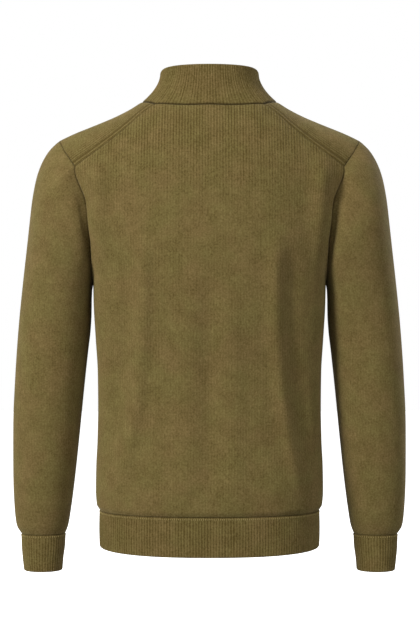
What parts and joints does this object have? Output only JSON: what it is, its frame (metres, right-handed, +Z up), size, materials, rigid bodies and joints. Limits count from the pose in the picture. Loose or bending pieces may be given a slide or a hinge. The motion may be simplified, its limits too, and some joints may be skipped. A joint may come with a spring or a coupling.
{
  "type": "quarter zip sweater",
  "caption": "Knitted long-sleeved sweater with a rib stand collar, a short front zip, rib cuffs and a rib hem band, filled out as when worn.",
  "frame": {"origin": "centre of the neck base, level with the high points of the shoulders, where the wearer carries the garment", "axes": "+Z up, the wearer faces -Y, +X is the wearer's left"},
  "size_m": [0.592, 0.2519, 0.7536],
  "materials": {
    "knit": "fine matt cotton knit in olive, with a soft heathered surface",
    "rib": "fine rib knit in olive",
    "zip_tape": "plain woven tape in dark olive",
    "zip_metal": "dull aged brass"
  },
  "bodies": {
    "garment": {"back_panel": "knit", "front_panel": "knit", "sleeve_left": "knit", "sleeve_right": "knit", "collar": "rib", "hem_band": "rib", "cuff_left": "rib", "cuff_right": "rib", "zip_tape_left": "zip_tape", "zip_tape_right": "zip_tape", "zip_slider": "zip_metal", "zip_stop": "zip_metal"},
    "zip_pull": {"zip_pull": "zip_metal"}
  },
  "joints": [
    {"name": "zip_pull_swing", "type": "hinge", "parent": "garment", "child": "zip_pull", "pos_m": [0, -0.07561, -0.00798], "axis": [-1, 0, 0], "range_deg": [0, 165]}
  ]
}
